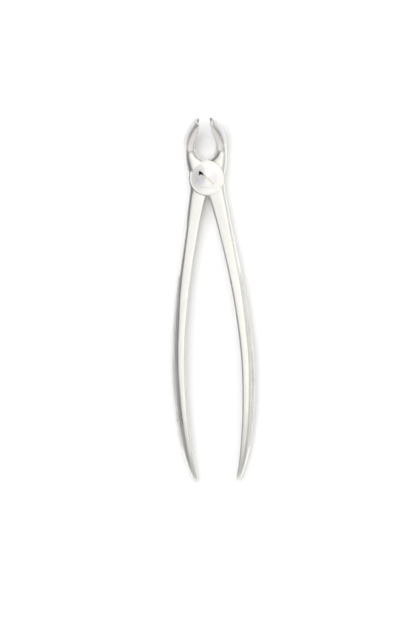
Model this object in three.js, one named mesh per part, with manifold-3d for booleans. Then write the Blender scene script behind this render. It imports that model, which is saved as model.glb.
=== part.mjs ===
// Dental extraction forceps, English pattern, for upper molars: two crossed levers that turn
// on one slotted joint screw. Millimetres. The origin is on the joint axis, in the plane that
// the underside of the joint rests on. +Z goes up along the joint axis, +Y towards the beaks.

import * as THREE from "three";
import { mergeVertices } from "three/addons/utils/BufferGeometryUtils.js";
import Module from "manifold-3d";

const wasm = await Module();
wasm.setup();

// Joint
const plateRadius = 8.4; // round lap plate of each lever
const plateSeat = 0.25; // how far the joint's turned underside stands proud of the levers
const turnedDrop = 0.5; // from the middle of the conical turned face on top to its edge
const jointDepth = 10.1; // both turned faces, one over the other
const lapGap = 0.2; // between the two lap plates
const recessClearance = 0.3; // round the other lever's plate
const turnedRadius = 7.3; // conical turned face
const rimChamfer = 0.2; // round the plate, outside the turned face
const crotchGap = 1.0; // between the handles where they leave the joint
const jawGap = 1.8; // between the beaks where they leave the joint

// Handles
const handleLength = 144.6; // from the joint axis to the handle's end
const handleBow = 13.4; // from the centre line to the inner face at the widest place
const handleWidth = 6.6; // across the handle, seen from above
const handleDepth = 10.6; // through the handle at its belly
const handleLift = 1.9; // how far the handle's arch clears the table
const rootGap = 0.8; // from the plate's rim to where the handles stand free

// Beaks
const beakReach = 26.6; // from the joint axis to the middle of the beak's end
const beakRise = 10.8; // how far the beak's end lies above the joint's middle plane
const jawHalfWidth = 5.0; // from the centre line to the beak's inner face
const beakWidth = 5.2; // across the beak, seen from above
const beakDepth = 8.8; // through the beak
const spikeLength = 1.2; // point in the middle of the cheek-side beak's end
const hollowDepth = 1.2; // hollow in the beak's gripping face
const hollowLength = 7.0;
const hollowHeight = 3.7;

// Joint screw
const headRadius = 4.7;
const headDepth = 2.2;
const shankRadius = 3.0; // plain bearing in the upper lever
const threadRadius = 2.5; // screwed into the lower lever
const slotWidth = 1.05;
const slotDepth = 1.2;
const slotAngle = THREE.MathUtils.degToRad(-44);
const turningClearance = 0.08; // between the screw and the lever that turns on it
const seatClearance = 0.05; // under the head
const threadClearance = 0.06; // between the screw's end and the lower lever

const facingStock = 0.2; // what is turned off the middle of the upper lever's plate

// Fineness of the faceted surfaces
const skinSides = 22;
const skinStepsPerRow = 3;
const roundSides = 64;
const hollowSides = 28;
const past = 5; // how far a cutting tool runs past what it cuts

const middle = jointDepth / 2;
const leverTop = jointDepth - turnedDrop;
const recessRadius = plateRadius + recessClearance;

function material(color, roughness) {
  return new THREE.MeshStandardMaterial({ color, roughness, metalness: 1 });
}

const satinSteel = material(0xd9d8d4, 0.36);
const screwSteel = material(0xd2d1d3, 0.28);

function toSolid(geometry) {
  const bare = geometry.clone();
  bare.deleteAttribute("normal");
  bare.deleteAttribute("uv");
  const merged = mergeVertices(bare, 1e-4);
  const mesh = new wasm.Mesh({
    numProp: 3,
    vertProperties: merged.attributes.position.array,
    triVerts: new Uint32Array(merged.index.array),
  });
  return new wasm.Manifold(mesh);
}

function toMesh(name, solid, finish) {
  const made = solid.getMesh();
  const geometry = new THREE.BufferGeometry();
  geometry.setAttribute("position", new THREE.BufferAttribute(made.vertProperties, 3));
  geometry.setIndex(new THREE.BufferAttribute(made.triVerts, 1));
  geometry.computeVertexNormals();
  const mesh = new THREE.Mesh(geometry, finish);
  mesh.name = name;
  return mesh;
}

// A body of revolution about the joint axis, from [radius, height] pairs that run upwards.
function turned(profile) {
  const points = profile.map(([radius, height]) => new THREE.Vector2(radius, height));
  const geometry = new THREE.LatheGeometry(points, roundSides);
  geometry.rotateX(Math.PI / 2);
  geometry.scale(1, -1, 1);
  return toSolid(reversed(geometry));
}

// A plain round bar about the joint axis between two heights.
function bar(radius, bottom, top) {
  return turned([
    [0, bottom],
    [radius, bottom],
    [radius, top],
    [0, top],
  ]);
}

function reversed(geometry) {
  const index = geometry.index.array;
  for (let i = 0; i < index.length; i += 3) {
    const kept = index[i];
    index[i] = index[i + 1];
    index[i + 1] = kept;
  }
  return geometry;
}

// A skin stretched between an inner and an outer rail. Each row gives one cross-section: where
// it stands (y, z), the inner and outer edge (x), its depth, the place of its ridge between the
// two edges as a share, and the powers of the rounded squares that its outer and inner sides
// follow.
// The skin runs away from the joint and is made for the +X side.
function skin(rows) {
  const curve = (pick) =>
    new THREE.CatmullRomCurve3(rows.map(pick), false, "catmullrom", 0.5);
  const inner = curve((row) => new THREE.Vector3(row.inner, row.y, row.z));
  const outer = curve((row) => new THREE.Vector3(row.outer, row.y, row.z));
  const form = curve((row) => new THREE.Vector3(row.depth, row.ridge, 0));
  const squareness = curve((row) => new THREE.Vector3(row.power, row.innerPower, 0));
  const steps = skinStepsPerRow * (rows.length - 1);
  const geometry = new THREE.CylinderGeometry(1, 1, 1, skinSides, steps);
  const position = geometry.attributes.position;
  const forward = Math.sign(rows[rows.length - 1].y - rows[0].y);
  const vertex = new THREE.Vector3();
  for (let i = 0; i < position.count; i += 1) {
    vertex.fromBufferAttribute(position, i);
    const t = 0.5 + forward * vertex.y;
    const from = inner.getPoint(t);
    const to = outer.getPoint(t);
    const [depth, ridge] = form.getPoint(t).toArray();
    const [outerPower, innerPower] = squareness.getPoint(t).toArray();
    const heading = inner.getTangent(t);
    const up = new THREE.Vector3(0, -heading.z * forward, heading.y * forward).normalize();
    const centre = from.clone().lerp(to, ridge);
    const side = Math.round((Math.atan2(vertex.z, vertex.x) / (2 * Math.PI)) * skinSides);
    const turn = (((side + skinSides) % skinSides) / skinSides) * 2 * Math.PI;
    const size = Math.min(1, Math.hypot(vertex.x, vertex.z));
    const power = Math.cos(turn) < 0 ? innerPower : outerPower;
    const across = rounded(Math.cos(turn), power) * size;
    const raised = rounded(Math.sin(turn), power) * size;
    const reach = across > 0 ? to.x - centre.x : centre.x - from.x;
    centre.x += across * reach;
    centre.addScaledVector(up, (raised * depth) / 2);
    position.setXYZ(i, centre.x, centre.y, centre.z);
  }
  return geometry;
}

function rounded(value, power) {
  const snapped = Math.abs(value) < 1e-9 ? 0 : value;
  return Math.sign(snapped) * Math.abs(snapped) ** (2 / power);
}

// The handle on the +X side. Its first rows lie inside the joint, and the others follow
// shares of the handle's length, bow, width, depth and lift.
function handleSkin(rootBottom, rootTop) {
  const rootDepth = rootTop - rootBottom;
  const rootMiddle = (rootTop + rootBottom) / 2;
  const root = (y, inner, outer) => ({
    y: -y * plateRadius,
    z: rootMiddle,
    inner: inner * plateRadius,
    outer: outer * plateRadius,
    depth: rootDepth,
    ridge: 0.6,
    power: 4.5,
    innerPower: 16,
  });
  const start = plateRadius + rootGap;
  const free = ([along, bow, width, depth, lift, ridge, power, innerPower]) => {
    const inner = THREE.MathUtils.lerp(crotchGap / 2, handleBow, bow);
    const deep = depth * handleDepth;
    return {
      y: -THREE.MathUtils.lerp(start, handleLength, along),
      z: lift * handleLift + deep / 2,
      inner,
      outer: inner + width * handleWidth,
      depth: deep,
      ridge,
      power,
      innerPower,
    };
  };
  const shares = [
    [0.06, 0.19, 1.14, 0.8, 0.45, 0.6, 3.6, 16],
    [0.12, 0.33, 1.06, 0.75, 0.75, 0.62, 2.9, 15],
    [0.23, 0.56, 1.0, 0.79, 0.98, 0.62, 2.4, 14],
    [0.34, 0.75, 1.0, 0.88, 1.0, 0.58, 2.2, 12],
    [0.45, 0.89, 1.0, 0.95, 0.95, 0.49, 2.1, 10],
    [0.56, 0.98, 1.0, 0.99, 0.87, 0.44, 2.1, 9],
    [0.66, 1.0, 0.98, 1.0, 0.78, 0.39, 2.1, 9],
    [0.78, 0.955, 0.905, 0.95, 0.6, 0.37, 2.1, 8.5],
    [0.89, 0.85, 0.77, 0.83, 0.34, 0.36, 2.1, 8],
    [0.95, 0.76, 0.61, 0.72, 0.2, 0.38, 2.1, 7],
    [0.988, 0.68, 0.47, 0.62, 0.08, 0.42, 2.1, 5],
    [1.0, 0.66, 0.33, 0.52, 0.16, 0.5, 2.1, 3],
  ];
  const crotch = {
    y: -recessRadius,
    z: rootMiddle,
    inner: crotchGap / 2,
    outer: 1.08 * plateRadius,
    depth: rootDepth * 0.975,
    ridge: 0.6,
    power: 4.2,
    innerPower: 16,
  };
  const roots = [
    root(0.1, -0.6, 0.97),
    root(0.4, -0.5, 1.02),
    root(0.75, -0.3, 1.04),
  ];
  return skin([...roots, crotch, ...shares.map(free)]);
}

const beakSlope = THREE.MathUtils.degToRad(41);

// The beak on the +X side. Its first rows lie inside the joint. The others follow shares of
// the beak's reach, the jaw's half width and the beak's width, depth and rise.
function beakSkin(spiked) {
  const rootDepth = leverTop - plateSeat;
  const root = (y, inner, outer) => ({
    y: y * plateRadius,
    z: middle,
    inner: inner * plateRadius,
    outer: outer * plateRadius,
    depth: rootDepth,
    ridge: 0.66,
    power: 3.2,
    innerPower: 3,
  });
  const free = ([along, jaw, width, depth, rise, ridge, power, innerPower]) => ({
    y: THREE.MathUtils.lerp(plateRadius, beakReach, along),
    z: middle + rise * beakRise,
    inner: jaw * jawHalfWidth,
    outer: jaw * jawHalfWidth + width * beakWidth,
    depth: depth * beakDepth,
    ridge,
    power,
    innerPower,
  });
  const shares = [
    [0.117, 0.66, 1.33, 1.07, 0.01, 0.54, 3.2, 2.8],
    [0.22, 0.88, 1.13, 1.04, 0.035, 0.5, 2.8, 2.8],
    [0.328, 0.99, 1.04, 1.0, 0.095, 0.47, 2.5, 3.2],
    [0.433, 1.0, 1.02, 0.97, 0.2, 0.43, 2.3, 3.6],
    [0.544, 0.97, 1.02, 0.93, 0.345, 0.38, 2.2, 4.2],
    [0.644, 0.86, 1.03, 0.9, 0.487, 0.34, 2.1, 4.6],
    [0.756, 0.73, 0.98, 0.86, 0.648, 0.3, 2.1, 5],
    [0.87, 0.62, 0.83, 0.81, 0.81, 0.27, 2.0, 5],
    [0.95, 0.545, 0.65, 0.74, 0.925, 0.26, 2.0, 5],
    [1.0, 0.5, 0.5, 0.64, 1.0, 0.27, 2.0, 5],
  ];
  const throat = {
    y: recessRadius,
    z: middle,
    inner: jawGap / 2,
    outer: 1.21 * plateRadius,
    depth: rootDepth,
    ridge: 0.6,
    power: 3.4,
    innerPower: 2.8,
  };
  const roots = [
    root(0.1, -0.6, 1.035),
    root(0.5, -0.45, 1.14),
    root(0.8, -0.2, 1.19),
  ];
  const rows = [...roots, throat, ...shares.map(free)];
  if (spiked) {
    const end = rows[rows.length - 1];
    rows.push({
      ...end,
      y: end.y + spikeLength * Math.cos(beakSlope),
      z: end.z + spikeLength * Math.sin(beakSlope),
      inner: end.inner + 0.12 * beakWidth,
      outer: end.inner + 0.32 * beakWidth,
      depth: 0.2 * beakDepth,
    });
  }
  return skin(rows);
}

// The hollow in the gripping face of the beak on the +X side, an ellipsoid along the beak.
function beakHollow() {
  const geometry = new THREE.SphereGeometry(1, hollowSides, hollowSides / 2);
  geometry.scale(hollowDepth, hollowLength, hollowHeight / 2);
  geometry.rotateX(beakSlope);
  geometry.translate(0.5 * jawHalfWidth, beakReach, middle + beakRise);
  return geometry;
}

// Puts a shape made for the +X side on the side asked for.
function onSide(geometry, side) {
  if (side > 0) return toSolid(geometry);
  const plain = geometry.index ? geometry : mergeVertices(geometry);
  plain.scale(-1, 1, 1);
  return toSolid(reversed(plain));
}

// One lever before it is cut for its neighbour and the screw.
function leverBlank(handleSide, plate, rootBottom, rootTop, spiked) {
  const handle = onSide(handleSkin(rootBottom, rootTop), handleSide);
  const beak = onSide(beakSkin(spiked), -handleSide);
  const hollow = onSide(beakHollow(), -handleSide);
  return plate.add(handle).add(beak.subtract(hollow));
}

// The upper lever has the right handle and the left, blunt beak. It turns on the screw.
function upperLever() {
  const lap = middle + lapGap / 2;
  const plate = turned([
    [0, lap],
    [plateRadius, lap],
    [plateRadius, leverTop - rimChamfer],
    [plateRadius - rimChamfer, leverTop],
    [turnedRadius, leverTop],
    [0, jointDepth + facingStock],
  ]);
  const facing = turned([
    [0, jointDepth],
    [turnedRadius, leverTop],
    [turnedRadius, jointDepth + past],
    [0, jointDepth + past],
  ]);
  const blank = leverBlank(1, plate, plateSeat, leverTop, false).subtract(facing);
  const lowerPlateRoom = bar(recessRadius, -past, lap);
  const screwHole = bar(shankRadius + turningClearance, -past, jointDepth + past);
  const headSeat = jointDepth - headDepth - seatClearance;
  const headRoom = bar(headRadius + turningClearance, headSeat, jointDepth + past);
  return blank.subtract(lowerPlateRoom).subtract(screwHole).subtract(headRoom);
}

// The lower lever has the left handle and the right, spiked beak. The screw is fixed in it.
function lowerLever() {
  const lap = middle - lapGap / 2;
  const plate = turned([
    [0, 0],
    [plateRadius - rimChamfer, 0],
    [plateRadius, rimChamfer],
    [plateRadius, lap],
    [0, lap],
  ]);
  const blank = leverBlank(-1, plate, 0, leverTop, true);
  const upperPlateRoom = bar(recessRadius, lap, jointDepth + past);
  const screwHole = bar(threadRadius + threadClearance, -past, jointDepth);
  return blank.subtract(upperPlateRoom).subtract(screwHole);
}

function jointScrew() {
  const headBottom = jointDepth - headDepth;
  const shankEnd = middle - lapGap / 2 + threadClearance;
  const body = turned([
    [0, 0],
    [threadRadius, 0],
    [threadRadius, shankEnd],
    [shankRadius, shankEnd],
    [shankRadius, headBottom],
    [headRadius, headBottom],
    [headRadius, jointDepth - (turnedDrop * headRadius) / turnedRadius],
    [0, jointDepth],
  ]);
  const slot = new THREE.BoxGeometry(2 * (headRadius + past), slotWidth, 2 * slotDepth);
  slot.rotateZ(slotAngle);
  slot.translate(0, 0, jointDepth);
  return body.subtract(toSolid(slot));
}

const group = new THREE.Group();
group.add(toMesh("lower_lever", lowerLever(), satinSteel));
group.add(toMesh("upper_lever", upperLever(), satinSteel));
group.add(toMesh("joint_screw", jointScrew(), screwSteel));

export default group;
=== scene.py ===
"""Dental extraction forceps: two forged, satin steel levers that cross in a round lap joint and
turn on one slotted screw. The pieces are built in millimetres and written in metres."""

import math

import bpy
import numpy as np
from bpy.props import FloatProperty, FloatVectorProperty, PointerProperty
from mathutils import Matrix, Vector


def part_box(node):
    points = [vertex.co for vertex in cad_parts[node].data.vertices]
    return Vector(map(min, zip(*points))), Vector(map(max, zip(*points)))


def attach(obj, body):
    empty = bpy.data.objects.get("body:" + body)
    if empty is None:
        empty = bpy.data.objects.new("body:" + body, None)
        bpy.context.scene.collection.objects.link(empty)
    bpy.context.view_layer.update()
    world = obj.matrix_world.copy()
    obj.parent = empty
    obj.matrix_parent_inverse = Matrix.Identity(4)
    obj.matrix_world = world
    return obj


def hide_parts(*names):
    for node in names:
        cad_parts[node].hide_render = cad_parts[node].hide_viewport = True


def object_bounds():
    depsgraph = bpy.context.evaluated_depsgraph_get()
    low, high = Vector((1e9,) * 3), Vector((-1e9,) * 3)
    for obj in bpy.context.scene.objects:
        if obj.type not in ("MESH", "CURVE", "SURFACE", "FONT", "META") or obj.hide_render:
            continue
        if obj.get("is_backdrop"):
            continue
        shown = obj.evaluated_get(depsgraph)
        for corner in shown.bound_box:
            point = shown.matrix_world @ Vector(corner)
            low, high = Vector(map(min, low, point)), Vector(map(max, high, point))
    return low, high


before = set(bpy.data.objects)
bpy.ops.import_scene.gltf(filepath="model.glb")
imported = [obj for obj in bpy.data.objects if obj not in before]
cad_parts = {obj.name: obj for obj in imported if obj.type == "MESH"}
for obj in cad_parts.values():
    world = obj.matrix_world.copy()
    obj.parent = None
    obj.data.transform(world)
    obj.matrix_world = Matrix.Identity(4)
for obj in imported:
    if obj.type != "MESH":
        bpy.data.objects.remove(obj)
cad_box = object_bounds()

bl_info = {
    "name": "Extraction Forceps",
    "version": (1, 0, 0),
    "blender": (4, 5, 0),
    "location": "View3D > Sidebar > Forceps",
    "description": "Builds dental extraction forceps around their solid frame",
    "category": "Add Mesh",
}

MM = 0.001


def corners(node):
    """The lowest and highest corner of a solid, in millimetres."""
    low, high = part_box(node)
    return np.array(low) / MM, np.array(high) / MM


SCREW_HIGH = corners("joint_screw")[1]
UPPER_LOW = corners("upper_lever")[0]

TURNED_DROP = 0.5  # from the middle of the conical turned face on top to its edge
JOINT_DEPTH = float(SCREW_HIGH[2]) + 0.035  # the slot takes the tip of the cone
MIDDLE = JOINT_DEPTH / 2
LEVER_TOP = JOINT_DEPTH - TURNED_DROP
HANDLE_END = float(UPPER_LOW[1])
UPPER_SEAT = 0.25  # how high the upper lever's underside lies over the table, at the joint
LOWER_SEAT = 0.2  # the same for the lower lever's handle
CROTCH_GAP = 1.0  # between the handles where they leave the joint
JAW_GAP = 1.8  # between the beaks where they leave the joint
ROOT_GAP = 0.8  # from the plate's rim to where the handles stand free

HEAD_RADIUS = float(SCREW_HIGH[0])
HEAD_DEPTH = 2.2
SHANK_RADIUS = 3.0
THREAD_RADIUS = 2.5
HEAD_CLEARANCE = 0.02  # round the head
SHANK_CLEARANCE = 0.08  # round the shank
SEAT_CLEARANCE = 0.05  # under the head
THREAD_CLEARANCE = 0.06  # round the thread
STAKE = (-2.85, 2.35)  # middle of the staking mark, on the head by the slot's end
STAKE_RADIUS = 1.4

BEAK_SLOPE = math.radians(41)
BEAK_REACH = 26.6  # from the joint's axis to the middle of a beak's end
BEAK_RISE = 10.8  # how far that end lies above the joint's middle plane
RECESS_CLEARANCE = 0.3  # room round the other lever's plate in the solids
HOLLOW = (1.2, 7.0, 1.85)  # half sizes of the hollow in a beak: deep, along, across
KNURL_ANGLE = math.radians(63)  # the knurled face's edge, round a handle's section
KNURL_FROM = 46.0  # from the joint's axis to the knurl's near end
KNURL_TO = 129.0  # and to its far end


# ---------------------------------------------------------------- sizes and colours


class ForcepsLevers(bpy.types.PropertyGroup):
    plate_radius: FloatProperty(
        name="Lap Plate Radius",
        description="Radius of the round lap plate of each lever, in millimetres",
        default=8.4,
        min=5,
    )
    turned_radius: FloatProperty(
        name="Turned Face Radius",
        description="Radius of the turned face of the joint, in millimetres",
        default=7.3,
        min=4,
    )
    lap_gap: FloatProperty(
        name="Lap Gap",
        description="Room between the two lap plates, in millimetres",
        default=0.2,
        min=0.02,
    )
    recess_clearance: FloatProperty(
        name="Recess Clearance",
        description="Room round the other lever's plate, in millimetres",
        default=0.06,
        min=0.03,
    )
    handle_length: FloatProperty(
        name="Handle Length",
        description="From the joint's axis to the middle of the handle's end, in millimetres",
        default=-HANDLE_END - 1.2,
        min=60,
    )
    handle_bow: FloatProperty(
        name="Handle Bow",
        description="From the centre line to the widest inner face, in millimetres",
        default=13.4,
        min=4,
    )
    handle_width: FloatProperty(
        name="Handle Width",
        description="Across the handle, seen from above, in millimetres",
        default=6.6,
        min=3,
    )
    handle_depth: FloatProperty(
        name="Handle Depth",
        description="Through the handle at its belly, in millimetres",
        default=10.6,
        min=4,
    )
    jaw_half_width: FloatProperty(
        name="Jaw Half Width",
        description="From the centre line to a beak's inner face, in millimetres",
        default=5.0,
        min=2,
    )
    beak_width: FloatProperty(
        name="Beak Width",
        description="Across a beak, seen from above, in millimetres",
        default=5.2,
        min=2,
    )
    beak_depth: FloatProperty(
        name="Beak Depth",
        description="Through a beak, in millimetres",
        default=8.8,
        min=3,
    )
    knurl_pitch: FloatProperty(
        name="Knurl Pitch",
        description="Distance between the knurl's grooves along the handle, in millimetres",
        default=1.1,
        min=0.5,
    )
    knurl_depth: FloatProperty(
        name="Knurl Depth",
        description="Depth of the knurl's grooves, in millimetres",
        default=0.24,
        min=0,
    )
    colour: FloatVectorProperty(
        name="Steel",
        description="Colour of the satin steel",
        subtype="COLOR",
        size=3,
        default=(0.885, 0.877, 0.84),
        min=0,
        max=1,
    )


class ForcepsScrew(bpy.types.PropertyGroup):
    slot_width: FloatProperty(
        name="Slot Width",
        description="Width of the screwdriver slot, in millimetres",
        default=0.85,
        min=0.2,
    )
    slot_depth: FloatProperty(
        name="Slot Depth",
        description="Depth of the screwdriver slot, in millimetres",
        default=1.2,
        min=0.2,
    )
    slot_angle: FloatProperty(
        name="Slot Angle",
        description="Direction of the slot, from +X",
        default=math.radians(-44),
        subtype="ANGLE",
    )
    thread_pitch: FloatProperty(
        name="Thread Pitch",
        description="Pitch of the screw's thread, in millimetres",
        default=0.8,
        min=0.3,
    )
    colour: FloatVectorProperty(
        name="Screw",
        description="Colour of the screw's steel",
        subtype="COLOR",
        size=3,
        default=(0.855, 0.845, 0.855),
        min=0,
        max=1,
    )


class ForcepsStage(bpy.types.PropertyGroup):
    camera_distance: FloatProperty(
        name="Camera Distance",
        description="Height of the camera over the forceps",
        default=1.6,
        min=0.3,
        unit="LENGTH",
    )
    view_height: FloatProperty(
        name="View Height",
        description="Length of the floor that the picture's long side shows",
        default=0.2983,
        min=0.1,
        unit="LENGTH",
    )
    lean: FloatProperty(
        name="Lean",
        description="How far the forceps lie turned in the picture",
        default=math.radians(2),
        subtype="ANGLE",
    )
    floor_colour: FloatVectorProperty(
        name="Floor",
        description="Colour of the table",
        subtype="COLOR",
        size=3,
        default=(0.895, 0.90, 0.915),
        min=0,
        max=1,
    )


# ---------------------------------------------------------------- surfaces


def carried(rows, at):
    """Carries every column of rows smoothly through its values: between two rows it is the cubic
    that leaves each row along the line between that row's two neighbours. at counts in rows."""
    rows = np.asarray(rows, float)
    padded = np.vstack([2 * rows[0] - rows[1], rows, 2 * rows[-1] - rows[-2]])
    first = np.clip(np.floor(at).astype(int), 0, len(rows) - 2)
    w = (at - first)[:, None]
    before, here, there, after = (padded[first + k] for k in range(4))
    leave = (there - before) / 2
    arrive = (after - here) / 2
    return (
        (2 * w**3 - 3 * w**2 + 1) * here
        + (w**3 - 2 * w**2 + w) * leave
        + (3 * w**2 - 2 * w**3) * there
        + (w**3 - w**2) * arrive
    )


def powered(value, power):
    """Signed power 2/p of a sine or cosine, which squares a circle's corners."""
    return np.sign(value) * np.abs(value) ** (2 / power)


def skin(rows, at, angles, end_size, end_push, relief=None):
    """A skin between an inner and an outer rail, on a grid of places along the rows and angles
    round the section. Columns of rows: y, z, inner x, outer x, depth, ridge share, and the
    powers p of the outer and the inner side.
    A point is ridge + reach * cos^(2/p) across and depth / 2 * sin^(2/p) upwards, square to
    the path. The end is closed by rings shrunk to end_size and pushed on by end_push."""
    forward = np.sign(rows[-1][0] - rows[0][0])
    count = len(end_size)
    at = np.concatenate([at, np.full(count, at[-1])])
    size = np.concatenate([np.ones(len(at) - count), end_size])[:, None]
    push = np.concatenate([np.zeros(len(at) - count), end_push])[:, None]
    row = carried(rows, at)
    y, z, inner, outer, depth, ridge, outer_power, inner_power = (c[:, None] for c in row.T)
    step = 1e-3
    ahead = carried(rows, np.minimum(at + step, len(rows) - 1))[:, :2]
    behind = carried(rows, np.maximum(at - step, 0))[:, :2]
    heading = ahead - behind
    heading /= np.linalg.norm(heading, axis=1)[:, None]
    along_y, along_z = heading[:, :1], heading[:, 1:]
    up_y, up_z = -along_z * forward, along_y * forward
    cos, sin = np.cos(angles)[None, :], np.sin(angles)[None, :]
    square = np.where(cos < 0, inner_power, outer_power)
    ridge_x = inner + (outer - inner) * ridge
    reach = np.where(cos > 0, outer - ridge_x, ridge_x - inner)
    middle_x = (inner + outer) / 2
    across = ridge_x - middle_x + powered(cos, square) * reach
    raised = powered(sin, square) * depth / 2
    if relief is not None:
        turn_x = np.roll(across, -1, 1) - np.roll(across, 1, 1)
        turn_z = np.roll(raised, -1, 1) - np.roll(raised, 1, 1)
        length = np.hypot(turn_x, turn_z) + 1e-9
        side_step = np.hypot(across - np.roll(across, 1, 1), raised - np.roll(raised, 1, 1))
        girth = np.cumsum(side_step, axis=1)
        path_step = np.hypot(np.diff(y, axis=0), np.diff(z, axis=0))
        path = np.concatenate([[[0.0]], np.cumsum(path_step, axis=0)])
        sunk = relief(path, y, girth, angles[None, :])
        across = across - sunk * turn_z / length
        raised = raised + sunk * turn_x / length
    x = middle_x + across * size
    lift = raised * size
    return np.stack(
        [x, y + lift * up_y + push * along_y, z + lift * up_z + push * along_z], axis=-1
    )


def closed(rings):
    """Points and faces of a tube of rings, closed by a point in the middle of each end."""
    turns, sides = rings.shape[:2]
    poles = np.stack([rings[0].mean(axis=0), rings[-1].mean(axis=0)])
    points = np.concatenate([rings.reshape(-1, 3), poles])
    number = np.arange(turns * sides).reshape(turns, sides)
    beside = np.roll(number, -1, axis=1)
    quads = np.stack([number[:-1], beside[:-1], beside[1:], number[1:]], axis=-1).reshape(-1, 4)
    first, last = turns * sides, turns * sides + 1
    start = np.stack([beside[0], number[0], np.full(sides, first)], axis=-1)
    end = np.stack([number[-1], beside[-1], np.full(sides, last)], axis=-1)
    return points, quads, np.concatenate([start, end])


def revolved(profile, sides):
    """Turns [radius, height] points about the joint's axis. The first and last point lie next
    to the axis and are closed there."""
    profile = np.asarray(profile, float)
    turn = np.linspace(0, 2 * np.pi, sides, endpoint=False)
    radius, height = profile[:, :1], profile[:, 1:]
    return np.stack(
        [radius * np.cos(turn), radius * np.sin(turn), height + 0 * turn], axis=-1
    )


def filled_profile(corners, spacing=0.25):
    """Adds points to a profile so that none of its stretches is longer than the spacing."""
    corners = np.asarray(corners, float)
    out = [corners[:1]]
    for a, b in zip(corners[:-1], corners[1:]):
        count = max(1, int(np.ceil(np.linalg.norm(b - a) / spacing)))
        share = np.linspace(0, 1, count + 1)[1:, None]
        out.append(a + (b - a) * share)
    return np.vstack(out)


def block(size, turn, centre):
    """Points and faces of a box turned about the joint's axis."""
    x, y, z = (s / 2 for s in size)
    ring = np.array([[-x, -y], [x, -y], [x, y], [-x, y]])
    cos, sin = math.cos(turn), math.sin(turn)
    ring = ring @ np.array([[cos, sin], [-sin, cos]])
    rings = np.stack(
        [np.column_stack([ring, np.full(4, -z)]), np.column_stack([ring, np.full(4, z)])]
    )
    return rings + np.asarray(centre)


def make_object(name, rings):
    """A mesh object of closed rings given in millimetres, with its faces pointing out."""
    points, quads, fans = closed(rings)
    corner = points[quads]
    tri = np.concatenate([corner[:, [0, 1, 2]], corner[:, [0, 2, 3]], points[fans]])
    volume = np.einsum("ij,ij->i", tri[:, 0], np.cross(tri[:, 1], tri[:, 2])).sum()
    if volume < 0:
        quads, fans = quads[:, ::-1], fans[:, ::-1]
    loops = np.concatenate([quads.ravel(), fans.ravel()]).astype(np.int32)
    sizes = np.concatenate([np.full(len(quads), 4), np.full(len(fans), 3)])
    starts = np.concatenate([[0], np.cumsum(sizes)[:-1]]).astype(np.int32)
    mesh = bpy.data.meshes.new(name)
    mesh.vertices.add(len(points))
    mesh.vertices.foreach_set("co", (points * MM).astype(np.float32).ravel())
    mesh.loops.add(len(loops))
    mesh.loops.foreach_set("vertex_index", loops)
    mesh.polygons.add(len(sizes))
    mesh.polygons.foreach_set("loop_start", starts)
    mesh.update(calc_edges=True)
    mesh.validate()
    piece = bpy.data.objects.new(name, mesh)
    bpy.context.scene.collection.objects.link(piece)
    return piece


def combine(piece, tool, operation):
    """Joins or cuts piece with tool, and removes the tool."""
    change = piece.modifiers.new("shape", "BOOLEAN")
    change.operation = operation
    change.solver = "MANIFOLD"
    change.object = tool
    bpy.context.view_layer.update()
    graph = bpy.context.evaluated_depsgraph_get()
    made = bpy.data.meshes.new_from_object(piece.evaluated_get(graph))
    if not made.polygons:
        raise RuntimeError(f"{piece.name} came out empty after {tool.name}")
    piece.modifiers.clear()
    old = piece.data
    piece.data = made
    made.name = piece.name
    bpy.data.meshes.remove(old)
    spare = tool.data
    bpy.data.objects.remove(tool)
    bpy.data.meshes.remove(spare)


# ---------------------------------------------------------------- levers


def handle_rows(s, root_bottom, root_top):
    """Cross-sections of a handle, from inside the joint to its end."""
    root_depth = root_top - root_bottom
    root_middle = (root_top + root_bottom) / 2
    radius = s.plate_radius
    start = radius + ROOT_GAP
    rows = [
        (-y * radius, root_middle, inner * radius, outer * radius, root_depth, 0.6, 4.5, 16)
        for y, inner, outer in ((0.1, -0.6, 0.97), (0.4, -0.5, 1.02), (0.75, -0.3, 1.04))
    ]
    rows.append(
        (
            -(radius + RECESS_CLEARANCE),
            root_middle,
            CROTCH_GAP / 2,
            1.08 * radius,
            root_depth * 0.975,
            0.6,
            4.2,
            16,
        )
    )
    shares = (
        (0.06, 0.19, 1.14, 0.8, 0.45, 0.6, 3.6, 16),
        (0.12, 0.33, 1.06, 0.75, 0.75, 0.62, 2.9, 15),
        (0.23, 0.56, 1.0, 0.79, 0.98, 0.62, 2.4, 14),
        (0.34, 0.75, 1.0, 0.88, 1.0, 0.58, 2.2, 12),
        (0.45, 0.89, 1.0, 0.95, 0.95, 0.49, 2.1, 10),
        (0.56, 0.98, 1.0, 0.99, 0.87, 0.44, 2.1, 9),
        (0.66, 1.0, 0.98, 1.0, 0.78, 0.39, 2.1, 9),
        (0.78, 0.955, 0.905, 0.95, 0.6, 0.37, 2.1, 8.5),
        (0.89, 0.85, 0.77, 0.83, 0.34, 0.36, 2.1, 8),
        (0.95, 0.76, 0.61, 0.72, 0.2, 0.38, 2.1, 7),
        (0.988, 0.68, 0.47, 0.62, 0.08, 0.42, 2.1, 5),
        (1.0, 0.66, 0.33, 0.52, 0.16, 0.5, 2.1, 3),
    )
    lift_height = 1.9
    for along, bow, width, depth, lift, ridge, outer_power, inner_power in shares:
        inner = CROTCH_GAP / 2 + (s.handle_bow - CROTCH_GAP / 2) * bow
        deep = depth * s.handle_depth
        rows.append(
            (
                -(start + (s.handle_length - start) * along),
                lift * lift_height + deep / 2,
                inner,
                inner + width * s.handle_width,
                deep,
                ridge,
                outer_power,
                inner_power,
            )
        )
    return np.array(rows)


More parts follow.
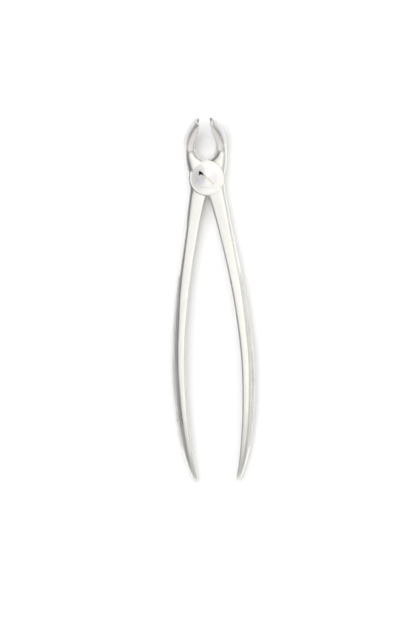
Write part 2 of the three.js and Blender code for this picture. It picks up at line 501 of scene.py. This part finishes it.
def beak_rows(s, spiked):
    """Cross-sections of a beak, from inside the joint to its end."""
    radius = s.plate_radius
    root_depth = LEVER_TOP - UPPER_SEAT
    rows = [
        (y * radius, MIDDLE, inner * radius, outer * radius, root_depth, 0.66, 3.2, 3)
        for y, inner, outer in ((0.1, -0.6, 1.035), (0.5, -0.45, 1.14), (0.8, -0.2, 1.19))
    ]
    throat = radius + RECESS_CLEARANCE
    rows.append((throat, MIDDLE, JAW_GAP / 2, 1.21 * radius, root_depth, 0.6, 3.4, 2.8))
    shares = (
        (0.117, 0.66, 1.33, 1.07, 0.01, 0.54, 3.2, 2.8),
        (0.22, 0.88, 1.13, 1.04, 0.035, 0.5, 2.8, 2.8),
        (0.328, 0.99, 1.04, 1.0, 0.095, 0.47, 2.5, 3.2),
        (0.433, 1.0, 1.02, 0.97, 0.2, 0.43, 2.3, 3.6),
        (0.544, 0.97, 1.02, 0.93, 0.345, 0.38, 2.2, 4.2),
        (0.644, 0.86, 1.03, 0.9, 0.487, 0.34, 2.1, 4.6),
        (0.756, 0.73, 0.98, 0.86, 0.648, 0.3, 2.1, 5),
        (0.87, 0.62, 0.83, 0.81, 0.81, 0.27, 2.0, 5),
        (0.95, 0.545, 0.65, 0.74, 0.925, 0.26, 2.0, 5),
        (1.0, 0.5, 0.5, 0.64, 1.0, 0.27, 2.0, 5),
    )
    for along, jaw, width, depth, up, ridge, outer_power, inner_power in shares:
        inner = jaw * s.jaw_half_width
        rows.append(
            (
                radius + (BEAK_REACH - radius) * along,
                MIDDLE + up * BEAK_RISE,
                inner,
                inner + width * s.beak_width,
                depth * s.beak_depth,
                ridge,
                outer_power,
                inner_power,
            )
        )
    if spiked:
        y, z, inner, _, _, *form = rows[-1]
        spike = 1.2
        rows.append(
            (
                y + spike * math.cos(BEAK_SLOPE),
                z + spike * math.sin(BEAK_SLOPE),
                inner + 0.12 * s.beak_width,
                inner + 0.32 * s.beak_width,
                0.2 * s.beak_depth,
                *form,
            )
        )
    return np.array(rows)


def places(rows, spacing):
    """Places along rows, in rows, whose distance along y and z follows spacing(y)."""
    fine = np.linspace(0, len(rows) - 1, 4000)
    run = carried(rows, fine)[:, :2]
    step = np.hypot(*np.diff(run, axis=0).T)
    density = np.concatenate([[0], np.cumsum(step / spacing(run[1:, 0]))])
    count = int(np.ceil(density[-1]))
    return np.interp(np.linspace(0, density[-1], count + 1), density, fine)


def handle_angles():
    """Angles round a handle's section, closest together on its knurled outer face."""
    outer = np.linspace(-KNURL_ANGLE - 0.09, KNURL_ANGLE + 0.09, 62)
    rest = np.linspace(outer[-1], outer[0] + 2 * np.pi, 42)[1:-1]
    return np.concatenate([outer, rest])


def smooth_step(low, high, value):
    share = np.clip((value - low) / (high - low), 0, 1)
    return share * share * (3 - 2 * share)


def handle_relief(s):
    """How far the handle's surface is sunk: a diamond knurl, the lower of two zigzags that cross
    at 45 degrees, on the outer face, and one shallow groove along each of that face's edges."""

    def relief(path, y, girth, angles):
        turn = (angles + np.pi) % (2 * np.pi) - np.pi
        centre = girth[:, np.argmin(np.abs(turn[0]))][:, None]
        round_it = girth - centre
        pitch = s.knurl_pitch
        one = np.abs(2 * (((path + round_it) / pitch) % 1) - 1)
        other = np.abs(2 * (((path - round_it) / pitch) % 1) - 1)
        groove = 1 - np.clip(np.minimum(one, other) / 0.62, 0, 1)
        inside = smooth_step(0.0, 0.06, KNURL_ANGLE - 0.06 - np.abs(turn))
        started = smooth_step(KNURL_FROM - 0.5, KNURL_FROM + 0.5, -y)
        ended = smooth_step(-KNURL_TO - 0.5, -KNURL_TO + 0.5, y)
        knurl = s.knurl_depth * groove * inside * started * ended
        edge = np.exp(-(((np.abs(turn) - KNURL_ANGLE) / 0.035) ** 2))
        line = smooth_step(14, 24, -y) * smooth_step(-142, -134, y)
        return knurl + 0.16 * edge * line

    return relief


def made_handle(s, side, root_bottom, root_top):
    rows = handle_rows(s, root_bottom, root_top)
    knurled = s.knurl_pitch / 5.5

    def spacing(y):
        return np.where((y < 1 - KNURL_FROM) & (y > -1 - KNURL_TO), knurled, 0.55)

    at = places(rows, spacing)
    turn = np.linspace(0, np.pi / 2, 9)[1:-1]
    size = np.cos(turn) ** 0.7
    push = 0.9 * np.sin(turn)
    rings = skin(rows, at, handle_angles(), size, push, handle_relief(s))
    rings[..., 0] *= side
    return make_object("handle", rings)


def made_beak(s, side, spiked):
    rows = beak_rows(s, spiked)
    at = places(rows, lambda y: np.full_like(y, 0.32))
    angles = np.linspace(0, 2 * np.pi, 96, endpoint=False)
    size = np.array([0.985, 0.955, 0.91, 0.85, 0.55, 0.25])
    push = np.array([0.1, 0.2, 0.27, 0.31, 0.33, 0.34])
    rings = skin(rows, at, angles, size, push)
    rings[..., 0] *= side
    return make_object("beak", rings)


def made_hollow(s, side):
    """The cutter for a beak's gripping face: an ellipsoid along the beak whose girth is rippled,
    so that it leaves fine ridges along the hollow."""
    deep, long, high = HOLLOW
    swing = np.linspace(0.02, np.pi - 0.02, 70)[:, None]
    turn = np.linspace(0, 2 * np.pi, 180, endpoint=False)[None, :]
    ripple = 1 + 0.035 * np.cos(26 * turn) * np.sin(swing)
    x = deep * np.sin(swing) * np.cos(turn) * ripple
    along = long * np.cos(swing) + 0 * turn
    up = high * np.sin(swing) * np.sin(turn) * ripple
    cos, sin = math.cos(BEAK_SLOPE), math.sin(BEAK_SLOPE)
    rings = np.stack(
        [
            side * (x + 0.5 * s.jaw_half_width),
            BEAK_REACH + along * cos - up * sin,
            MIDDLE + BEAK_RISE + along * sin + up * cos,
        ],
        axis=-1,
    )
    return make_object("hollow", rings)


def turned_height(radius, s):
    """Height of the turned face below its middle, a very flat cone."""
    return TURNED_DROP * radius / s.turned_radius


def made_plate(s, face, lap):
    """A lap plate between its lap face and its turned face, seen as a turned profile. The
    turned face is a flat cone on top and level underneath."""
    out = 1 if face > lap else -1
    drop = TURNED_DROP if out > 0 else 0
    profile = [
        (1e-3, lap),
        (s.plate_radius, lap),
        (s.plate_radius, face - out * (drop + 0.09)),
        (s.plate_radius - 0.03, face - out * (drop + 0.03)),
        (s.plate_radius - 0.09, face - out * drop),
        (s.turned_radius, face - out * drop),
        (1e-3, face + 0.2 * (out > 0)),
    ]
    return make_object("plate", revolved(filled_profile(profile, 0.8), 192))


def made_recess(s, lap, way):
    """The room for the other lever's plate, widened by a chamfer where it opens."""
    radius = s.plate_radius + s.recess_clearance
    face = JOINT_DEPTH if way > 0 else 0
    profile = [
        (1e-3, lap),
        (radius, lap),
        (radius, face - way * 0.6),
        (radius + 0.04, face - way * 0.52),
        (radius + 0.04, face + way * 6),
        (1e-3, face + way * 6),
    ]
    return make_object("recess", revolved(filled_profile(profile, 3), 192))


def made_facing(s):
    """What is turned off the top of the joint to leave its flat cone."""
    profile = [
        (1e-3, JOINT_DEPTH),
        (s.turned_radius, JOINT_DEPTH - TURNED_DROP),
        (s.turned_radius, JOINT_DEPTH + 6),
        (1e-3, JOINT_DEPTH + 6),
    ]
    return make_object("facing", revolved(filled_profile(profile, 0.8), 192))


def made_bar(radius, low, high, sides=96):
    """A plain round cutter about the joint's axis."""
    profile = [(1e-3, low), (radius, low), (radius, high), (1e-3, high)]
    return make_object("bar", revolved(profile, sides))


def swing_rooms(s, lap, way):
    """More room round the other lever's plate, at the joint's sides and between the handles,
    where the levers' shoulders pass each other."""
    low, high = sorted((lap, lap + way * 20))
    at_sides = block((40, 6.8, 60), 0, (0, 0, 0))
    at_handles = block((3.6, 8, 60), 0, (0, -8, 0))
    for reach in (at_sides, at_handles):
        room = made_bar(s.plate_radius + RECESS_CLEARANCE, low, high, 192)
        combine(room, make_object("swing", reach), "INTERSECT")
        yield room


def made_lever(name, s, handle_side, root, lap, recess_way, spiked):
    """One lever: handle, beak and plate joined, then cut for its neighbour."""
    face = JOINT_DEPTH if recess_way < 0 else 0
    lever = made_plate(s, face, lap)
    lever.name = name
    combine(lever, made_handle(s, handle_side, *root), "UNION")
    beak = made_beak(s, -handle_side, spiked)
    combine(beak, made_hollow(s, -handle_side), "DIFFERENCE")
    combine(lever, beak, "UNION")
    combine(lever, made_recess(s, lap, recess_way), "DIFFERENCE")
    for room in swing_rooms(s, lap, recess_way):
        combine(lever, room, "DIFFERENCE")
    return lever


def finish_piece(piece, materials, pick):
    """Gives a piece its materials, chosen for each face by pick(centres, normals), and smooths
    it over all but its sharp edges."""
    mesh = piece.data
    mesh.materials.clear()
    for made in materials:
        mesh.materials.append(made)
    count = len(mesh.polygons)
    centres = np.empty(count * 3, np.float32)
    normals = np.empty(count * 3, np.float32)
    mesh.polygons.foreach_get("center", centres)
    mesh.polygons.foreach_get("normal", normals)
    chosen = pick(centres.reshape(-1, 3) / MM, normals.reshape(-1, 3)).astype(np.int32)
    mesh.polygons.foreach_set("material_index", chosen)
    mesh.polygons.foreach_set("use_smooth", np.ones(count, bool))
    mesh.set_sharp_from_angle(angle=math.radians(32))
    mesh.update()


def lever_faces(s, face, beak_side):
    """Picks the turned face of a joint and the hollow in a beak, and leaves the rest satin."""
    deep, long, high = HOLLOW
    cos, sin = math.cos(BEAK_SLOPE), math.sin(BEAK_SLOPE)

    def pick(centres, normals):
        x, y, z = centres.T
        radius = np.hypot(x, y)
        near = np.abs(z - face) < TURNED_DROP + 0.03
        turned = near & (radius < s.turned_radius) & (np.abs(normals[:, 2]) > 0.99)
        from_y, from_z = y - BEAK_REACH, z - MIDDLE - BEAK_RISE
        along = from_y * cos + from_z * sin
        up = from_z * cos - from_y * sin
        across = x * beak_side - 0.5 * s.jaw_half_width
        inside = np.sqrt((across / deep) ** 2 + (along / long) ** 2 + (up / high) ** 2)
        return np.select([turned, inside < 1.05], [1, 2], 0)

    return pick


# ---------------------------------------------------------------- materials


class Nodes:
    """A material's node tree, with short calls to add and link nodes."""

    def __init__(self, name):
        self.material = bpy.data.materials.new(name)
        self.material.use_nodes = True
        self.tree = self.material.node_tree
        self.shader = self.tree.nodes["Principled BSDF"]

    def add(self, kind, **values):
        node = self.tree.nodes.new(kind)
        for key, value in values.items():
            if key.startswith("in_"):
                node.inputs[int(key[3:])].default_value = value
            else:
                setattr(node, key, value)
        return node

    def link(self, out, into):
        self.tree.links.new(out, into)

    def math(self, operation, a, b=0.0, c=0.0):
        node = self.add("ShaderNodeMath", operation=operation)
        for socket, value in zip(node.inputs, (a, b, c)):
            if isinstance(value, (int, float)):
                socket.default_value = value
            else:
                self.link(value, socket)
        return node.outputs[0]

    def noise(self, vector, scale, detail=3.0, roughness=0.55):
        node = self.add("ShaderNodeTexNoise")
        node.inputs["Scale"].default_value = scale
        node.inputs["Detail"].default_value = detail
        node.inputs["Roughness"].default_value = roughness
        self.link(vector, node.inputs["Vector"])
        return node.outputs["Fac"]

    def range(self, value, low, high, to_low, to_high):
        node = self.add("ShaderNodeMapRange")
        self.link(value, node.inputs["Value"])
        for key, number in zip(
            ("From Min", "From Max", "To Min", "To Max"), (low, high, to_low, to_high)
        ):
            node.inputs[key].default_value = number
        return node.outputs["Result"]

    def mix(self, share, a, b):
        node = self.add("ShaderNodeMix", data_type="RGBA")
        self.link(share, node.inputs["Factor"])
        for socket, value in ((node.inputs[6], a), (node.inputs[7], b)):
            if isinstance(value, tuple):
                socket.default_value = value
            else:
                self.link(value, socket)
        return node.outputs[2]

    def bump(self, height, distance, strength=1.0, normal=None):
        node = self.add("ShaderNodeBump")
        node.inputs["Strength"].default_value = strength
        node.inputs["Distance"].default_value = distance
        self.link(height, node.inputs["Height"])
        if normal is not None:
            self.link(normal, node.inputs["Normal"])
        return node.outputs["Normal"]


def shade(colour, factor):
    return tuple(c * factor for c in colour) + (1.0,)


def satin_steel(colour):
    """Blasted stainless steel: fine grain, soft lengthwise polishing, cloudy gloss, edges made
    brighter partly by rubbing and partly as painted highlight, painted shade in its hollows, and greyer
    over the beaks as painted shade."""
    n = Nodes("satin steel")
    place = n.add("ShaderNodeTexCoord").outputs["Object"]
    grain = n.noise(place, 5200, 2)
    stretch = n.add("ShaderNodeMapping")
    stretch.inputs["Scale"].default_value = (1, 0.05, 1)
    n.link(place, stretch.inputs["Vector"])
    lines = n.noise(stretch.outputs[0], 3000, 3)
    clouds = n.noise(place, 90, 4)
    patches = n.noise(place, 420, 3)
    edge = n.add("ShaderNodeNewGeometry").outputs["Pointiness"]
    # convex edges, found by pointiness, are lightened and made glossier: partly rubbed wear, partly a
    # painted highlight
    worn_and_lit_edge = n.range(edge, 0.52, 0.60, 0.0, 1.0)
    # painted shade: concave places, found by pointiness, are darkened towards 0.62 of the colour
    hollow = n.range(edge, 0.44, 0.49, 1.0, 0.0)
    tone = n.mix(n.range(clouds, 0.3, 0.7, 0, 1), shade(colour, 0.95), shade(colour, 1.03))
    tone = n.mix(n.range(patches, 0.62, 0.8, 0, 0.35), tone, shade(colour, 0.86))
    tone = n.mix(n.math("MULTIPLY", hollow, 0.45), tone, shade(colour, 0.62))
    tone = n.mix(n.math("MULTIPLY", worn_and_lit_edge, 0.5), tone, shade(colour, 1.1))
    # painted shade: over the beaks, 12 to 17 mm along y, the colour is multiplied by a grey
    split = n.add("ShaderNodeSeparateXYZ")
    n.link(place, split.inputs[0])
    beak = n.range(split.outputs["Y"], 0.012, 0.017, 0.0, 1.0)
    grey = n.mix(n.range(clouds, 0.3, 0.7, 0, 1), (0.81, 0.81, 0.83, 1), (0.87, 0.865, 0.88, 1))
    beak_shaded = n.add("ShaderNodeMix", data_type="RGBA", blend_type="MULTIPLY")
    for socket, value in zip((beak_shaded.inputs[0], beak_shaded.inputs[6], beak_shaded.inputs[7]), (beak, tone, grey)):
        n.link(value, socket)
    n.link(beak_shaded.outputs[2], n.shader.inputs["Base Color"])
    rough = n.math("ADD", n.range(clouds, 0.3, 0.7, 0.27, 0.36), n.range(lines, 0.3, 0.7, -0.03, 0.03))
    rough = n.math("SUBTRACT", rough, n.math("MULTIPLY", worn_and_lit_edge, 0.06))
    n.link(rough, n.shader.inputs["Roughness"])
    n.shader.inputs["Metallic"].default_value = 1.0
    first = n.bump(grain, 0.000012, 0.5)
    second = n.bump(lines, 0.00001, 0.5, first)
    n.link(n.bump(clouds, 0.00012, 0.25, second), n.shader.inputs["Normal"])
    return n.material


def turned_steel(name, colour, roughness, ring_scale):
    """Steel faced on a lathe: fine rings about the joint's axis, which smear reflections across
    them."""
    n = Nodes(name)
    place = n.add("ShaderNodeTexCoord").outputs["Object"]
    flat = n.add("ShaderNodeMapping")
    flat.inputs["Scale"].default_value = (1, 1, 0)
    n.link(place, flat.inputs["Vector"])
    reach = n.add("ShaderNodeVectorMath", operation="LENGTH")
    n.link(flat.outputs[0], reach.inputs[0])
    radius = reach.outputs["Value"]
    rings = n.add("ShaderNodeTexNoise", noise_dimensions="1D")
    rings.inputs["Scale"].default_value = ring_scale
    rings.inputs["Detail"].default_value = 4
    n.link(radius, rings.inputs["W"])
    clouds = n.noise(place, 220, 3)
    tone = n.mix(
        n.range(rings.outputs["Fac"], 0.35, 0.65, 0, 1), shade(colour, 0.9), shade(colour, 1.04)
    )
    n.link(tone, n.shader.inputs["Base Color"])
    n.link(n.range(clouds, 0.3, 0.7, roughness - 0.03, roughness + 0.04), n.shader.inputs["Roughness"])
    n.shader.inputs["Metallic"].default_value = 1.0
    n.shader.inputs["Anisotropic"].default_value = 0.85
    outward = n.add("ShaderNodeVectorMath", operation="NORMALIZE")
    n.link(flat.outputs[0], outward.inputs[0])
    n.link(outward.outputs[0], n.shader.inputs["Tangent"])
    n.link(n.bump(rings.outputs["Fac"], 0.00002, 0.5), n.shader.inputs["Normal"])
    return n.material


def lever_steels(colour):
    """A lever's materials: satin, its turned face, given a faint cool tint as painted reflection, and the
    hollow of its beak, darkened as painted shade.
    """
    # painted reflection: the turned face gets a faint cool tint standing for the room's cool light
    cool_reflection_tinted = tuple(part * cast for part, cast in zip(colour, (0.985, 0.98, 1.0)))
    return [
        satin_steel(colour),
        turned_steel("turned face", cool_reflection_tinted, 0.24, 9000),
        # painted shade: the beak's hollow is coloured darker, blotched between 0.95 and 0.6 of the steel
        slot_steel("hollow steel", shade(colour, 0.95), shade(colour, 0.6)),
    ]


def dark_mark_steel():
    """The near-black colour in the screw's staking mark."""
    n = Nodes("dark mark steel")
    place = n.add("ShaderNodeTexCoord").outputs["Object"]
    spots = n.noise(place, 2400, 3)
    n.link(
        n.mix(n.range(spots, 0.35, 0.65, 0, 1), (0.004, 0.003, 0.003, 1), (0.03, 0.015, 0.014, 1)),
        n.shader.inputs["Base Color"],
    )
    n.shader.inputs["Metallic"].default_value = 0.4
    n.shader.inputs["Roughness"].default_value = 0.6
    n.link(n.bump(spots, 0.00008, 0.6), n.shader.inputs["Normal"])
    return n.material


def slot_steel(name, clean, tarnish_and_shade, black_from=-1.0):
    """Milled steel, blotched darker: tarnish that can't be wiped clean in the screw's slot, painted shade
    in a beak's hollow;
    black beyond a line across x, given in metres."""
    n = Nodes(name)
    place = n.add("ShaderNodeTexCoord").outputs["Object"]
    spots = n.noise(place, 1500, 3)
    split = n.add("ShaderNodeSeparateXYZ")
    n.link(place, split.inputs[0])
    steel = n.mix(n.range(spots, 0.35, 0.65, 0, 1), clean, tarnish_and_shade)
    # black beyond the given line across x, used at one end of the screw's slot
    black_end = n.range(split.outputs["X"], black_from, black_from - 0.0006, 0, 1)
    n.link(n.mix(black_end, steel, (0.02, 0.012, 0.012, 1)), n.shader.inputs["Base Color"])
    n.shader.inputs["Metallic"].default_value = 1.0
    n.shader.inputs["Roughness"].default_value = 0.34
    n.link(n.bump(spots, 0.00004, 0.5), n.shader.inputs["Normal"])
    return n.material


def table_top(colour):
    n = Nodes("table top")
    place = n.add("ShaderNodeTexCoord").outputs["Object"]
    soft = n.noise(place, 30, 2)
    n.link(n.mix(soft, shade(colour, 0.995), shade(colour, 1.005)), n.shader.inputs["Base Color"])
    n.shader.inputs["Roughness"].default_value = 0.6
    n.shader.inputs["Specular IOR Level"].default_value = 0.2
    return n.material


# ---------------------------------------------------------------- operators


class FORCEPS_OT_upper_lever(bpy.types.Operator):
    """Build the upper lever, with the right handle and the blunt beak"""

    bl_idname = "forceps.upper_lever"
    bl_label = "Upper Lever"

    def execute(self, context):
        s = context.scene.forceps_levers
        lap = MIDDLE + s.lap_gap / 2
        root = (UPPER_SEAT, LEVER_TOP)
        piece = made_lever("upper_lever_skin", s, 1, root, lap, -1, False)
        combine(piece, made_facing(s), "DIFFERENCE")
        combine(piece, made_bar(SHANK_RADIUS + SHANK_CLEARANCE, -5, 20), "DIFFERENCE")
        head_seat = JOINT_DEPTH - HEAD_DEPTH - SEAT_CLEARANCE
        head_room = made_bar(HEAD_RADIUS + HEAD_CLEARANCE, head_seat, 20, 192)
        combine(piece, head_room, "DIFFERENCE")
        materials = lever_steels(s.colour)
        finish_piece(piece, materials, lever_faces(s, JOINT_DEPTH, -1))
        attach(piece, "upper")
        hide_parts("upper_lever")
        return {"FINISHED"}


class FORCEPS_OT_lower_lever(bpy.types.Operator):
    """Build the lower lever, with the left handle and the spiked beak"""

    bl_idname = "forceps.lower_lever"
    bl_label = "Lower Lever"

    def execute(self, context):
        s = context.scene.forceps_levers
        lap = MIDDLE - s.lap_gap / 2
        root = (LOWER_SEAT, LEVER_TOP)
        piece = made_lever("lower_lever_skin", s, -1, root, lap, 1, True)
        combine(piece, made_bar(THREAD_RADIUS + THREAD_CLEARANCE, -5, 20), "DIFFERENCE")
        materials = lever_steels(s.colour)
        finish_piece(piece, materials, lever_faces(s, 0, 1))
        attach(piece, "lower")
        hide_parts("lower_lever")
        return {"FINISHED"}


class FORCEPS_OT_joint_screw(bpy.types.Operator):
    """Build the slotted joint screw, with its staking mark and thread"""

    bl_idname = "forceps.joint_screw"
    bl_label = "Joint Screw"

    def execute(self, context):
        s = context.scene.forceps_screw
        levers = context.scene.forceps_levers
        thread_top = MIDDLE - 0.1
        crest, root = THREAD_RADIUS, THREAD_RADIUS - 0.38
        upward = np.linspace(0.02, thread_top, 120)
        turn = np.linspace(0, 2 * np.pi, 192, endpoint=False)
        wave = (upward[:, None] / s.thread_pitch - turn / (2 * np.pi)) % 1
        depth = np.clip(1.25 - np.abs(2 * wave - 1) * 1.5, 0, 1)
        fade = np.minimum(1, (thread_top - upward) / 0.6)[:, None] * np.minimum(1, upward / 0.4)[:, None]
        radius = crest - (crest - root) * depth * fade
        thread = np.stack(
            [radius * np.cos(turn), radius * np.sin(turn), upward[:, None] + 0 * turn], axis=-1
        )
        edge = HEAD_RADIUS - 0.04
        head = [
            (crest, thread_top + 0.02),
            (SHANK_RADIUS - 0.04, thread_top + 0.04),
            (SHANK_RADIUS, thread_top + 0.1),
            (SHANK_RADIUS, JOINT_DEPTH - HEAD_DEPTH),
            (HEAD_RADIUS, JOINT_DEPTH - HEAD_DEPTH),
            (HEAD_RADIUS, JOINT_DEPTH - turned_height(HEAD_RADIUS, levers) - 0.05),
            (edge, JOINT_DEPTH - turned_height(edge, levers)),
            (0.02, JOINT_DEPTH),
        ]
        top = revolved(filled_profile(head, 0.4), 192)
        piece = make_object("joint_screw_turned", np.concatenate([thread, top]))
        slot = block((20, s.slot_width, 2 * s.slot_depth), s.slot_angle, (0, 0, JOINT_DEPTH))
        combine(piece, make_object("slot", slot), "DIFFERENCE")
        mark = np.array([*STAKE, JOINT_DEPTH - 0.2])
        punch = [(0.01, -1.0), (0.8, -0.9), (STAKE_RADIUS, 0.0), (STAKE_RADIUS, 1.0), (0.01, 1.0)]
        stake = revolved(punch, 3) + mark
        combine(piece, make_object("stake", stake), "DIFFERENCE")

        def pick(centres, normals):
            top_face = (centres[:, 2] > JOINT_DEPTH - TURNED_DROP - 0.02) & (normals[:, 2] > 0.95)
            across = -math.sin(s.slot_angle) * centres[:, 0] + math.cos(s.slot_angle) * centres[:, 1]
            in_slot = (np.abs(across) < s.slot_width / 2 + 0.02) & (
                centres[:, 2] > JOINT_DEPTH - s.slot_depth - 0.02
            )
            beside = np.hypot(centres[:, 0] - mark[0], centres[:, 1] - mark[1])
            # the staking mark's walls get the near-black colour
            in_dark_mark = (beside < STAKE_RADIUS + 0.05) & ~top_face & (centres[:, 2] > JOINT_DEPTH - 1.4)
            return np.select([in_dark_mark, in_slot, top_face], [3, 2, 0], 1)

        materials = [
            turned_steel("turned screw head", s.colour, 0.24, 12000),
            satin_steel(s.colour),
            # the slot's steel is light gold, and black beyond x = -1.3 mm, at the end by the staking mark
            slot_steel("slot steel", (1.0, 0.96, 0.85, 1), (0.8, 0.7, 0.54, 1), -0.0013),
            dark_mark_steel(),
        ]
        finish_piece(piece, materials, pick)
        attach(piece, "lower")
        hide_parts("joint_screw")
        return {"FINISHED"}


class FORCEPS_OT_stage(bpy.types.Operator):
    """Build the table, the soft studio light and the camera"""

    bl_idname = "forceps.stage"
    bl_label = "Stage"

    def execute(self, context):
        s = context.scene.forceps_stage
        self.make_floor(s)
        self.make_room(context)
        self.make_lamp()
        self.make_camera(context, s)
        return {"FINISHED"}

    def make_floor(self, s):
        half = 3.0
        mesh = bpy.data.meshes.new("floor")
        square = [(-half, -half, 0), (half, -half, 0), (half, half, 0), (-half, half, 0)]
        mesh.from_pydata(square, [], [(0, 1, 2, 3)])
        floor = bpy.data.objects.new("floor", mesh)
        mesh.materials.append(table_top(s.floor_colour))
        bpy.context.scene.collection.objects.link(floor)
        floor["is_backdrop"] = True

    def make_room(self, context):
        """A bright room with a dark stretch on the left, a dimmer right side and a dark band
        low down towards the handles' ends."""
        world = bpy.data.worlds.new("studio")
        context.scene.world = world
        world.use_nodes = True
        tree = world.node_tree
        background = tree.nodes["Background"]
        way = tree.nodes.new("ShaderNodeTexCoord")
        split = tree.nodes.new("ShaderNodeSeparateXYZ")
        tree.links.new(way.outputs["Generated"], split.inputs[0])

        def ramp(value, stops):
            share = tree.nodes.new("ShaderNodeMapRange")
            share.inputs["From Min"].default_value = -1
            share.inputs["From Max"].default_value = 1
            tree.links.new(value, share.inputs["Value"])
            node = tree.nodes.new("ShaderNodeValToRGB")
            node.color_ramp.interpolation = "EASE"
            points = node.color_ramp.elements
            while len(points) < len(stops):
                points.new(0.5)
            for point, (at, colour) in zip(points, stops):
                point.position = (at + 1) / 2
                point.color = (*colour, 1)
            tree.links.new(share.outputs["Result"], node.inputs["Fac"])
            return node.outputs["Color"]

        sideways = ramp(
            split.outputs["X"],
            [
                (-1.0, (0.46, 0.46, 0.47)),
                (-0.85, (0.30, 0.30, 0.31)),
                (-0.65, (0.12, 0.12, 0.13)),
                (-0.28, (0.12, 0.115, 0.135)),
                (-0.13, (0.42, 0.405, 0.445)),
                (-0.03, (1.0, 0.995, 0.965)),
                (0.3, (1.0, 1.0, 0.96)),
                (0.58, (0.5, 0.5, 0.48)),
                (0.8, (0.46, 0.46, 0.45)),
                (1.0, (0.55, 0.55, 0.55)),
            ],
        )
        far = ramp(
            split.outputs["X"],
            [
                (-1.0, (0.85, 0.85, 0.85)),
                (-0.3, (0.8, 0.79, 0.79)),
                (0.0, (0.83, 0.815, 0.8)),
                (0.3, (0.76, 0.745, 0.73)),
                (1.0, (0.82, 0.82, 0.82)),
            ],
        )
        lengthways = ramp(
            split.outputs["Y"],
            [
                (-1.0, (0.86, 0.86, 0.85)),
                (-0.8, (0.9, 0.9, 0.89)),
                (-0.64, (0.66, 0.66, 0.66)),
                (-0.5, (0.24, 0.24, 0.24)),
                (-0.38, (0.5, 0.5, 0.5)),
                (-0.2, (1, 1, 1)),
                (0.6, (1, 1, 1)),
                (1.0, (0.7, 0.7, 0.7)),
            ],
        )
        upwards = ramp(
            split.outputs["Z"],
            [
                (-1.0, (0.74, 0.74, 0.74)),
                (0.06, (0.74, 0.74, 0.74)),
                (0.26, (1, 1, 1)),
                (1.0, (1, 1, 1)),
            ],
        )
        behind = tree.nodes.new("ShaderNodeMapRange")
        behind.inputs["From Min"].default_value = -0.2
        behind.inputs["From Max"].default_value = -0.55
        tree.links.new(split.outputs["Y"], behind.inputs["Value"])
        across = tree.nodes.new("ShaderNodeMix")
        across.data_type = "RGBA"
        tree.links.new(behind.outputs["Result"], across.inputs["Factor"])
        tree.links.new(sideways, across.inputs[6])
        tree.links.new(far, across.inputs[7])

        def times(a, b):
            node = tree.nodes.new("ShaderNodeMix")
            node.data_type = "RGBA"
            node.blend_type = "MULTIPLY"
            node.inputs["Factor"].default_value = 1
            tree.links.new(a, node.inputs[6])
            tree.links.new(b, node.inputs[7])
            return node.outputs[2]

        tree.links.new(times(times(across.outputs[2], lengthways), upwards), background.inputs["Color"])
        background.inputs["Strength"].default_value = 1.43

    def make_lamp(self):
        lamp = bpy.data.lights.new("softbox", "AREA")
        lamp.shape = "DISK"
        lamp.size = 1.1
        lamp.energy = 11.8
        lamp.color = (1.0, 0.99, 0.97)
        holder = bpy.data.objects.new("softbox", lamp)
        place = Vector((-0.32, 0.06, 1.2))
        aim = Vector((0, -0.06, 0)) - place
        holder.matrix_world = Matrix.Translation(place) @ aim.to_track_quat("-Z", "Y").to_matrix().to_4x4()
        holder.visible_glossy = False
        bpy.context.scene.collection.objects.link(holder)

    def make_camera(self, context, s):
        lens = bpy.data.cameras.new("camera")
        lens.sensor_width = 36
        lens.lens = lens.sensor_width * s.camera_distance / s.view_height
        lens.clip_start = 0.01
        lens.clip_end = 20
        camera = bpy.data.objects.new("camera", lens)
        bpy.context.scene.collection.objects.link(camera)
        cos, sin = math.cos(s.lean), math.sin(s.lean)
        turn = Matrix(((cos, sin, 0), (-sin, cos, 0), (0, 0, 1)))
        table_height = 0.008
        place = Vector((-0.00152, -0.06404, table_height + s.camera_distance))
        camera.matrix_world = Matrix.Translation(place) @ turn.to_4x4()
        context.scene.camera = camera
        context.scene.view_settings.view_transform = "Standard"
        context.scene.view_settings.look = "None"


class FORCEPS_PT_panel(bpy.types.Panel):
    """Lists the pieces of the forceps and their sizes"""

    bl_idname = "FORCEPS_PT_panel"
    bl_label = "Extraction Forceps"
    bl_space_type = "VIEW_3D"
    bl_region_type = "UI"
    bl_category = "Forceps"

    def draw(self, context):
        layout = self.layout
        for operator in OPERATORS:
            layout.operator(operator.bl_idname)
        for group in (
            context.scene.forceps_levers,
            context.scene.forceps_screw,
            context.scene.forceps_stage,
        ):
            box = layout.box()
            for key in group.__annotations__:
                box.prop(group, key)


OPERATORS = (
    FORCEPS_OT_stage,
    FORCEPS_OT_lower_lever,
    FORCEPS_OT_upper_lever,
    FORCEPS_OT_joint_screw,
)
CLASSES = (ForcepsLevers, ForcepsScrew, ForcepsStage, *OPERATORS, FORCEPS_PT_panel)


def register():
    for made in CLASSES:
        bpy.utils.register_class(made)
    bpy.types.Scene.forceps_levers = PointerProperty(type=ForcepsLevers)
    bpy.types.Scene.forceps_screw = PointerProperty(type=ForcepsScrew)
    bpy.types.Scene.forceps_stage = PointerProperty(type=ForcepsStage)


def unregister():
    del bpy.types.Scene.forceps_stage
    del bpy.types.Scene.forceps_screw
    del bpy.types.Scene.forceps_levers
    for made in reversed(CLASSES):
        bpy.utils.unregister_class(made)


def main():
    register()
    bpy.ops.forceps.stage()
    bpy.ops.forceps.lower_lever()
    bpy.ops.forceps.upper_lever()
    bpy.ops.forceps.joint_screw()
    boxes = {"cad": cad_box, "visual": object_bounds()}
    plain = {name: [list(corner) for corner in box] for name, box in boxes.items()}


if __name__ == "__main__":
    main()
